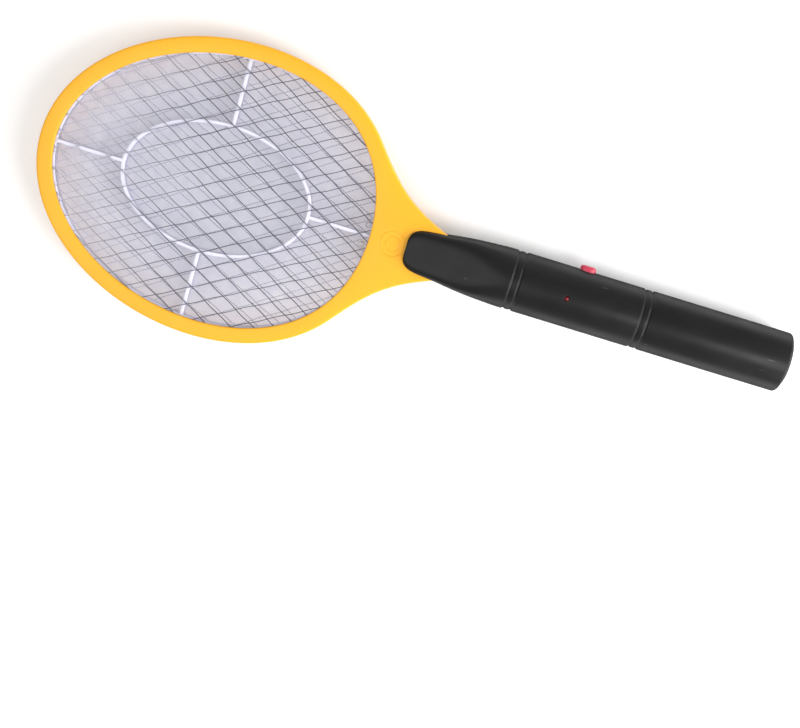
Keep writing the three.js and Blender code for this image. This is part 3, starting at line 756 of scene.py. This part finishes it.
def head_half(name, side):
    """One half of the head frame: outer wall, rounded edges, inner flange and the sheets' pocket."""
    outline = head_outline()
    points = []
    faces = []

    def add_loop(loop, z):
        points.extend((s, y, side * z) for s, y in loop)
        return len(points) - len(loop)

    outer = [add_loop(inset(outline, d), z) for d, z in [(0, SHELL_GAP), *fillet(FRAME_EDGE, HEAD_HALF)]]
    for a, b in zip(outer, outer[1:]):
        bridge(faces, a, b, len(outline))
    inner_steps = [*reversed(fillet(OPENING_EDGE, HEAD_HALF)), (0, FLANGE_LOW)]
    inner = [add_loop(egg(d), z) for d, z in inner_steps]
    inner.append(add_loop(egg(POCKET_REACH), FLANGE_LOW))
    inner.append(add_loop(egg(POCKET_REACH), SHELL_GAP))
    for a, b in zip(inner, inner[1:]):
        bridge(faces, a, b, EGG_SIDES)
    piece = mesh_object(name, points, faces)
    work = bmesh.new()
    work.from_mesh(piece.data)
    for z in (side * HEAD_HALF, side * SHELL_GAP):
        height = at(0, 0, z).z
        rims = [e for e in work.edges if e.is_boundary
                and all(abs(v.co.z - height) < 1e-6 for v in e.verts)]
        bmesh.ops.triangle_fill(work, use_beauty=True, edges=rims)
    work.to_mesh(piece.data)
    work.free()
    return outward(piece)


def head_screw_places():
    return [egg_point(math.radians(a), RIM_SCREW_INSET) for a in RIM_SCREW_ANGLES] + list(NECK_SCREWS)


def ring_path(radius):
    """A circle on the neck's face."""
    return [(NECK_RING_S + radius * math.cos(a), radius * math.sin(a), HEAD_HALF) for a in circle(72)]


def make_head():
    front = head_half("head_front_shell", 1)
    back = head_half("head_back_shell", -1)
    for piece in (front, back):
        half = TAB_CHANNEL["half"]
        channels = [box("channel", TAB_CHANNEL["start"], TAB_CHANNEL["end"], -half, half,
                        -FLANGE_LOW, FLANGE_LOW)]
        half = LEAD_CHANNEL["half"]
        height = LEAD_CHANNEL["height"]
        channels.append(box("channel", LEAD_CHANNEL["start"], TONGUE_END + 1, -half, half, -height, height))
        through = [(-HEAD_HALF - 2, TONGUE_HOLE), (HEAD_HALF + 2, TONGUE_HOLE)]
        holes = [turned("hole", through, (s, y, 0), "z", 24) for s, y in TONGUE_SCREWS]
        cut(piece, channels + holes)
    cut(front, [hoop("mark", ring_path(radius), NECK_RING_CUT) for radius in NECK_RING_RADII])
    seat = [(-HEAD_HALF - 2, HEAD_SEAT["radius"]), (HEAD_SEAT["z"], HEAD_SEAT["radius"])]
    cut(back, [turned("seat", seat, (s, y, 0), "z", 32) for s, y in head_screw_places()])
    finish_piece(front, "head_frame_front", sharp=38)
    finish_piece(back, "head_frame_back", sharp=38)


# -------- sheets
def heading(degrees):
    """Unit vectors along a line at an angle, and across it."""
    turn = math.radians(degrees)
    along = Vector((math.cos(turn), math.sin(turn)))
    return along, Vector((-along.y, along.x))


def chord(offset, degrees, reach):
    """Where a straight line, at a distance from the egg's middle, crosses the egg outline."""
    along, across = heading(degrees)
    outline = [Vector(p) - Vector((EGG["centre"], 0)) for p in egg(reach, 360)]
    hits = []
    for a, b in zip(outline, outline[1:] + outline[:1]):
        u = a.dot(across) - offset
        v = b.dot(across) - offset
        if (u < 0) != (v < 0):
            hits.append((a + (b - a) * (u / (u - v))).dot(along))
    return (min(hits), max(hits)) if len(hits) == 2 else None


def crimped_wire(span, offset, degrees, other, z, number, other_shift, drift):
    """A wire's path: it passes over and under the wires that cross it, at other degrees."""
    along, across = heading(degrees)
    beyond = heading(other)[1]
    lift = GUARD_LIFT if other > degrees else -GUARD_LIFT
    count = max(8, round((span[1] - span[0]) / GUARD_STEP))
    path = []
    for i in range(count + 1):
        u = span[0] + (span[1] - span[0]) * i / count
        here = along * u + across * offset
        phase = math.pi * ((here.dot(beyond) - other_shift) / GUARD_PITCH + number)
        crimp = math.asin(WIRE_CREST * math.cos(phase)) / math.asin(WIRE_CREST)
        here += across * (drift * math.sin(0.019 * u + number) + GUARD_KINK * math.sin(phase))
        path.append((EGG["centre"] + here.x, here.y, z + lift * crimp))
    return path


def guard_wires(name, z, node, turn, shifts):
    """Two families of crimped wires that weave over and under each other."""
    points = []
    faces = []
    families = ((-1, GUARD_RADII[0], *shifts), (1, GUARD_RADII[1], *shifts[::-1]))
    for way, radius, shift, other_shift in families:
        degrees = turn + way * GUARD_ANGLE
        other = turn - way * GUARD_ANGLE
        lines = int(HEAD_REACH / GUARD_PITCH)
        for k in range(-lines, lines + 1):
            offset = k * GUARD_PITCH + shift
            span = chord(offset, degrees, SHEET_EDGE)
            drift = random.uniform(-GUARD_DRIFT, GUARD_DRIFT)
            if span:
                path = crimped_wire(span, offset, degrees, other, z, k, other_shift, drift)
                tube_mesh(points, faces, path, radius, 7)
    finish_piece(mesh_object(name, points, faces), node, sharp=60)


def fine_grid():
    """The live sheet: a fine welded mesh of thin straight wires."""
    points = []
    faces = []
    for degrees, z in ((0, GRID_RADIUS), (90, -GRID_RADIUS)):
        along, across = heading(degrees)
        lines = int(HEAD_REACH / GRID_PITCH)
        for k in range(-lines, lines + 1):
            span = chord(k * GRID_PITCH, degrees, SHEET_EDGE)
            if span:
                path = []
                for i in range(5):
                    here = along * (span[0] + (span[1] - span[0]) * i / 4) + across * k * GRID_PITCH
                    path.append((EGG["centre"] + here.x, here.y, z))
                tube_mesh(points, faces, path, GRID_RADIUS, 5)
    finish_piece(mesh_object("live_fine_mesh", points, faces), "high_voltage_grid", sharp=60)


def flat_ring(loops_outer, loops_inner, z, half):
    """Points and faces of a flat ring with rounded edges between two equal loops."""
    points = []
    count = len(loops_outer)
    soft = SPACER_EDGE
    levels = [(0, -half + soft), (soft, -half), (1 - soft, -half), (1, -half + soft),
              (1, half - soft), (1 - soft, half), (soft, half), (0, half - soft)]
    for share, dz in levels:
        width = (Vector(loops_outer[0]) - Vector(loops_inner[0])).length
        t = {0: 0, 1: 1, soft: soft / width, 1 - soft: 1 - soft / width}[share]
        for o, i in zip(loops_outer, loops_inner):
            p = Vector(o) + (Vector(i) - Vector(o)) * t
            points.append((p.x, p.y, z + dz))
    return points, wrapped(len(levels), count)


def spacer(name, side, node):
    """White spacer: an egg-shaped rim, an oval ring and four spokes, joined into one."""
    z = side * SPACER_Z
    half = SPACER_HALF
    middle = SPACER_RING["s"]
    bar = SPACER_RING["half_bar"]
    long = SPACER_RING["long"]
    wide = SPACER_RING["wide"]

    def oval(grow):
        return [(middle + (long + grow) * math.cos(a), (wide + grow) * math.sin(a)) for a in circle(160)]

    edges = (egg(SPACER_OUTER, 240), egg(-SPACER_RING["rim"], 240))
    rim = outward(mesh_object(name, *flat_ring(*edges, z, half)))
    ring = outward(mesh_object("ring", *flat_ring(oval(bar), oval(-bar), z, half)))
    low, high = z - half + 0.02, z + half - 0.02
    near, far = egg_point(0, 1)[0], egg_point(math.pi, 1)[0]
    long -= SPOKE_OVERLAP
    wide -= SPOKE_OVERLAP
    spokes = [box("spoke", middle + long, near, -bar, bar, low, high),
              box("spoke", far, middle - long, -bar, bar, low, high),
              box("spoke", middle - bar, middle + bar, wide, SPOKE_REACH, low, high),
              box("spoke", middle - bar, middle + bar, -SPOKE_REACH, -wide, low, high)]
    cut(rim, [ring, *[bevel(spoke, 0.3) for spoke in spokes]], "UNION")
    finish_piece(rim, node, sharp=40)


def eyelet(name, node):
    """The terminal of a guard mesh: a rolled eyelet."""
    low, high = node_box(node)
    centre = (low + high) / 2
    radius = (high.y - low.y) / 2
    half = (high.z - low.z) / 2
    points = []
    for roll in circle(24):
        z = centre.z + half * math.sin(roll)
        r = radius * EYELET_MIDDLE + radius * EYELET_ROLL * math.cos(roll)
        points += [(centre.x + r * math.cos(a), centre.y + r * math.sin(a), z) for a in circle(48)]
    finish_piece(outward(mesh_object(name, points, wrapped(24, 48))), node, sharp=70)


def make_sheets():
    guard_wires("front_guard_wires", GUARD_Z, "guard_mesh_front", 0, (0, 0))
    guard_wires("back_guard_wires", -GUARD_Z, "guard_mesh_back", GUARD_TURN_BACK, GUARD_SHIFTS_BACK)
    fine_grid()
    spacer("front_spacer", 1, "mesh_spacer_front")
    spacer("back_spacer", -1, "mesh_spacer_back")
    eyelet("front_eyelet", "mesh_terminal_front")
    eyelet("back_eyelet", "mesh_terminal_back")


# -------- handle
FRONT_SECTIONS = (
    (123.0, 5.5, 9.2, 5.0), (123.25, 7.3, 9.75, 5.5), (123.8, 8.9, 10.0, 6.0),
    (124.7, 10.3, 10.2, 6.0), (126.0, 11.5, 10.45, 6.0), (127.8, 12.45, 10.7, 6.0),
    (130.0, 13.2, 11.0, 6.0), (133.0, 13.75, 11.35, 6.0), (138.0, 14.3, 11.9, 5.9),
    (146.3, 15.0, 12.9, 5.6), (152.0, 15.8, 13.75, 5.1), (158.0, 16.6, 14.6, 4.6),
    (163.0, 17.2, 15.35, 4.05), (168.0, 17.7, 16.1, 3.5), (173.0, 18.1, 16.95, 2.95),
    (178.0, 18.5, 17.8, 2.5), (182.5, 18.8, 18.45, 2.2), (187.0, 19.0, 19.0, 2.0),
)
GROOVE_PROFILE = ((-3.7, 0), (-3.35, 0.05), (-3.05, 0.24), (-2.65, 0.62), (-2.45, 0.76), (-2.2, 0.82),
                  (-1.95, 0.76), (-1.75, 0.62), (-1.35, 0.34), (-0.9, 0.27), (0, 0.25))


def rounded_square(turn, power):
    """Cosine and sine of a turn, and how far out a superellipse of half width 1 lies there."""
    c = math.cos(turn)
    v = math.sin(turn)
    return c, v, (abs(c) ** power + abs(v) ** power) ** (-1 / power)


def superellipse(s, half_width, half_height, power, sides):
    loop = []
    for i in range(sides):
        c, v, radius = rounded_square(TAU * (i + 0.5) / sides, power)
        loop.append((s, half_width * radius * c, half_height * radius * v))
    return loop


def handle_sections():
    sections = list(FRONT_SECTIONS)
    mirrored = GROOVE_PROFILE + tuple((-d, g) for d, g in reversed(GROOVE_PROFILE[:-1]))
    for centre in GROOVE_PAIRS:
        for offset, depth in mirrored:
            radius = HANDLE_RADIUS - depth
            sections.append((centre + offset, radius, radius, 2.0))
    for turn in quarter(5):
        radius = HANDLE_RADIUS - BUTT_EDGE * (1 - math.cos(turn))
        sections.append((HANDLE_END - BUTT_EDGE * (1 - math.sin(turn)), radius, radius, 2.0))
    return sections


def handle_blank(name):
    return rings(name, [superellipse(*section, HANDLE_SIDES) for section in handle_sections()])


def grip_arcs():
    """Concentric arcs sunk into the underside between the hinge and the butt."""
    cutters = []
    reach = HANDLE_RADIUS + 0.1
    for radius in ARC_RADII:
        path = []
        for i in range(41):
            turn = ARC_SPAN * (i / 40 - 0.5)
            wrap = -math.pi / 2 + radius * math.sin(turn) / HANDLE_RADIUS
            path.append((ARC_S - radius * math.cos(turn), reach * math.cos(wrap), reach * math.sin(wrap)))
        cutters.append(tube("arc", path, ARC_CUT, 8))
    return cutters


def make_handle():
    tray_low, tray_high = node_box("plug_tray")
    button_low, button_high = node_box("push_button")
    led_low, led_high = node_box("indicator_led")
    length = (button_high.x - button_low.x) / 2 - BUTTON_FLANGE + FIT_GAP
    middle = (button_high.x + button_low.x) / 2
    height = (button_high.z - button_low.z) / 2 - BUTTON_FLANGE + FIT_GAP
    seat = CAP_SEAT["radius"]
    mouth = CAP_MOUTH["radius"]
    for name, node, side in (("handle_upper_skin", "handle_upper_shell", 1),
                             ("handle_lower_skin", "handle_lower_shell", -1)):
        piece = handle_blank(name)
        low, high = sorted((side * SHELL_GAP, side * OUTSIDE))
        cut(piece, [box("half", BEFORE_NOSE, PAST_BUTT, -OUTSIDE, OUTSIDE, low, high)], "INTERSECT")
        margin = TONGUE_ROOM["margin"]
        half = TONGUE_ROOM["half"]
        cutters = [box("neck_room", BEFORE_NOSE, MOUTH_S + FIT_GAP, -OUTSIDE, OUTSIDE, -NOSE_BASE, NOSE_BASE),
                   box("tongue_room", MOUTH_S - margin, TONGUE_END + margin, -half, half,
                       -HEAD_HALF, HEAD_HALF),
                   rings("cavity", [superellipse(*section, 72) for section in CAVITY]),
                   turned("seat", [(CAP_SEAT["start"], seat), (CAP_SEAT["end"], seat)], (0, 0, 0), "s", 96),
                   turned("mouth", [(CAP_MOUTH["start"], mouth), (BUTT_S + 2, mouth)], (0, 0, 0), "s", 96),
                   button_solid("door", middle, *BUTTON_DOOR, length, height, 0)]
        if side > 0:
            centre = ((led_low.x + led_high.x) / 2, 0, 0)
            through = [(LED_BASE - 2, LENS_HOLE), (CUTTER_REACH, LENS_HOLE)]
            cutters.append(turned("lens_hole", through, centre, "z", 48))
        else:
            cutters.append(box("tray_room", tray_low.x - FIT_GAP, tray_high.x + FIT_GAP,
                               tray_low.y - FIT_GAP, tray_high.y + FIT_GAP, -CUTTER_REACH, TRAY_TOP))
            cutters.extend(grip_arcs())
            for s, y, head_z in HANDLE_SCREWS:
                radius = HANDLE_SEAT["radius"]
                profile = [(-CUTTER_REACH, radius), (head_z + HANDLE_SEAT["rise"], radius)]
                cutters.append(turned("screw_seat", profile, (s, y, 0), "z", 40))
        cut(piece, cutters)
        finish_piece(piece, node, sharp=30)


def make_end_cap():
    edge = CAP_EDGE["round"]
    profile = list(CAP_ROOT)
    for turn in quarter(6):
        profile.append((CAP_EDGE["s"] + edge * math.sin(turn), CAP_EDGE["radius"] + edge * math.cos(turn)))
    profile.extend(CAP_FACE)
    piece = turned("butt_cap", profile, (0, 0, 0), "s", 96)
    finish_piece(piece, "end_cap", sharp=30)


# -------- button and lens
def button_solid(name, middle, y0, y1, half_length, half_height, crown):
    """A stadium-shaped block along y, with an edge rounded by crown at its outer end."""
    levels = [(y0, 0)]
    if crown:
        levels += [(y1 - crown + crown * math.sin(a), crown * (1 - math.cos(a))) for a in quarter(8)]
    else:
        levels.append((y1, 0))
    loops = []
    for y, shrink in levels:
        loop = []
        for turn in circle(96):
            c, v, radius = rounded_square(turn, BUTTON["power"])
            along = (half_length - shrink) * radius * c
            loop.append((middle + along, y, (half_height - shrink) * radius * v))
        loops.append(loop)
    return rings(name, loops)


def make_spring():
    """The coil spring behind the button, with closed ends."""
    low, high = node_box("button_spring")
    centre_s = (low.x + high.x) / 2
    wire = SPRING_WIRE / 2
    radius = (high.x - low.x) / 2 - wire
    travel = high.y - low.y - 2 * wire
    steps = 36 * SPRING_TURNS
    open_turns = SPRING_TURNS - 2 * SPRING_CLOSED
    path = []
    for i in range(steps + 1):
        turns = SPRING_TURNS * i / steps
        climb = min(max((turns - SPRING_CLOSED) / open_turns, 0), 1)
        turn = TAU * turns
        height = low.y + wire + travel * climb
        path.append((centre_s + radius * math.cos(turn), height, radius * math.sin(turn)))
    piece = finish_piece(tube("press_spring", path, wire, 10), "button_spring", sharp=50)
    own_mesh(piece)


def make_button():
    low, high = node_box("push_button")
    middle = (low.x + high.x) / 2
    cap = button_solid("thumb_button", middle, low.y + BUTTON["root"], high.y,
                       (high.x - low.x) / 2 - BUTTON_FLANGE, (high.z - low.z) / 2 - BUTTON_FLANGE,
                       BUTTON["crown"])
    flange = box("flange", low.x, high.x, low.y, low.y + BUTTON["flange"], low.z, high.z)
    cut(cap, [bevel(flange, BUTTON["flange_edge"])], "UNION")
    finish_piece(cap, "push_button", sharp=35)


def make_lens():
    low, high = node_box("indicator_led")
    centre = ((low.x + high.x) / 2, (low.y + high.y) / 2, 0)
    radius = (high.x - low.x) / 2
    base = LED_BASE
    profile = [(base, 0), (base, radius * 1.12), (base + 0.9, radius * 1.12), (base + 0.9, radius)]
    for turn in quarter(8):
        profile.append((high.z - radius * 0.9 + radius * 0.9 * math.sin(turn), radius * math.cos(turn)))
    lens = turned("indicator_lens", profile, centre, "z", 48)
    finish_piece(lens, "indicator_led", sharp=35)
    for name, y in (("led_leg_left", 0.8), ("led_leg_right", -0.8)):
        leg = box(name, centre[0] - LEG_HALF, centre[0] + LEG_HALF, y - LEG_HALF, y + LEG_HALF, low.z, base)
        extra_piece(bevel(leg, 0.08), "screw_steel")


# -------- screws
def make_screws():
    """Pan-head screws with cross recesses and a turned thread, one for each CAD screw."""
    for node in sorted(SLOT_OF):
        if "_screw_" not in node:
            continue
        low, high = node_box(node)
        centre = ((low.x + high.x) / 2, (low.y + high.y) / 2, 0)
        head = (high.y - low.y) / 2
        shank = SCREW_SHANK * head
        profile = [(low.z, 0), (low.z, head * 0.55), (low.z + 0.12 * head, head * 0.86),
                   (low.z + 0.32 * head, head), (low.z + 0.5 * head, head), (low.z + 0.8 * head, shank * 0.8)]
        z = low.z + 0.8 * head + SCREW_PITCH / 2
        while z < high.z - 2.5 * shank:
            profile += [(z, shank * 0.72), (z + SCREW_PITCH / 2, shank)]
            z += SCREW_PITCH
        profile += [(high.z - 2 * shank, shank * 0.7), (high.z, 0)]
        screw = turned(node + "_fine", profile, centre, "z", 28)
        reach, half = (head * share for share in SCREW_CROSS)
        arms = [box("slot", centre[0] - a, centre[0] + a, centre[1] - b, centre[1] + b, low.z - 1,
                    low.z + 0.42 * head) for a, b in ((reach, half), (half, reach))]
        cut(screw, arms)
        finish_piece(screw, node, sharp=30)


# -------- plug
def node_copy(node, name):
    """A copy of a CAD node's solid with its flat faces joined."""
    mesh = frame["nodes"][node].data.copy()
    work = bmesh.new()
    work.from_mesh(mesh)
    bmesh.ops.remove_doubles(work, verts=work.verts, dist=1e-6)
    bmesh.ops.dissolve_limit(work, angle_limit=math.radians(1), verts=work.verts, edges=work.edges)
    work.to_mesh(mesh)
    work.free()
    return link_object(name, mesh)


def refined(node, name, width):
    """A CAD node's solid with its edges rounded."""
    finish_piece(bevel(node_copy(node, name), width), node)


def smoothed(node, name, regain):
    """A CAD lead made round: subdivided, and swollen by what the subdivision takes off."""
    piece = node_copy(node, name)
    step = piece.modifiers.new("round", "SUBSURF")
    step.levels = 2
    step.render_levels = 2
    swell = piece.modifiers.new("swell", "DISPLACE")
    swell.strength = regain * MM
    swell.mid_level = 0
    finish_piece(baked(piece), node, sharp=80)


def make_plug():
    refined("plug_block", "plug_body", 0.75)
    refined("plug_tray", "plug_recess", 0.25)
    for node in ("plug_pin_left", "plug_pin_right"):
        low, high = node_box(node)
        radius = (high.z - low.z) / 2
        centre = (0, (low.y + high.y) / 2, (low.z + high.z) / 2)
        tip = low.x
        profile = [(tip + 0.5, 0), (tip + 0.45, radius * 0.28), (tip + 0.1, radius * 0.42),
                   (tip, radius * 0.5), (tip + 0.05, radius * 0.62), (tip + 0.5, radius * 0.88),
                   (tip + 1.1, radius), (high.x - 0.2, radius), (high.x, radius * 0.9), (high.x, 0)]
        finish_piece(turned(node + "_fine", profile, centre, "s", 48), node, sharp=35)
    low, high = node_box("plug_hinge_pin")
    radius = (high.x - low.x) / 2
    centre = ((low.x + high.x) / 2, 0, (low.z + high.z) / 2)
    profile = [(low.y, 0), (low.y, radius * 0.8), (low.y + 0.3, radius), (high.y - 0.3, radius),
               (high.y, radius * 0.8), (high.y, 0)]
    finish_piece(turned("hinge_axle", profile, centre, "y", 40), "plug_hinge_pin")


# -------- inside
def axial_part(node, axis, low, high, ends, radius):
    """A round component that lies on the board, with rounded ends and a waist."""
    start, end = ends
    middle = (low + high) / 2
    centre = {"s": (0, middle.y, middle.z), "y": (middle.x, 0, middle.z)}[axis]
    edge = 0.35
    profile = [(start, 0), (start, radius - edge), (start + 0.1, radius - 0.15), (start + edge, radius),
               (start + 1.1, radius), (start + 1.4, radius * 0.93), (end - 1.4, radius * 0.93),
               (end - 1.1, radius), (end - edge, radius), (end - 0.1, radius - 0.15),
               (end, radius - edge), (end, 0)]
    finish_piece(turned(node + "_fine", profile, centre, axis, 40), node, sharp=50)


def make_inside():
    for node, width in (("circuit_board", 0.2), ("transformer_core", 0.35), ("transformer_winding", 0.6),
                        ("storage_capacitor", 1.1), ("dropper_capacitor", 1.1), ("switch_body", 0.3),
                        ("oscillator_transistor", 0.4), ("battery_link", 0.12), ("plug_contact_left", 0.1),
                        ("plug_contact_right", 0.1), ("battery_cell_1", 0.3), ("battery_cell_2", 0.3)):
        refined(node, node + "_fine", width)
    for node, slot in SLOT_OF.items():
        if slot.startswith("lead_"):
            smoothed(node, node + "_round", LEAD_REGAIN)
    for node in ("rectifier_diode_1", "rectifier_diode_2"):
        low, high = node_box(node)
        axial_part(node, "s", low, high, (low.x, high.x), (high.y - low.y) / 2)
    low, high = node_box("bleed_resistor")
    axial_part("bleed_resistor", "y", low, high, (low.y, high.y), (high.x - low.x) / 2)
    for name, node in frame["nodes"].items():
        if not node.hide_render:
            shade(node.data, SLOT_OF[name], 50)


make_camera()
make_studio()
make_head()
make_sheets()
make_handle()
make_end_cap()
make_button()
make_spring()
make_lens()
make_screws()
make_plug()
make_inside()
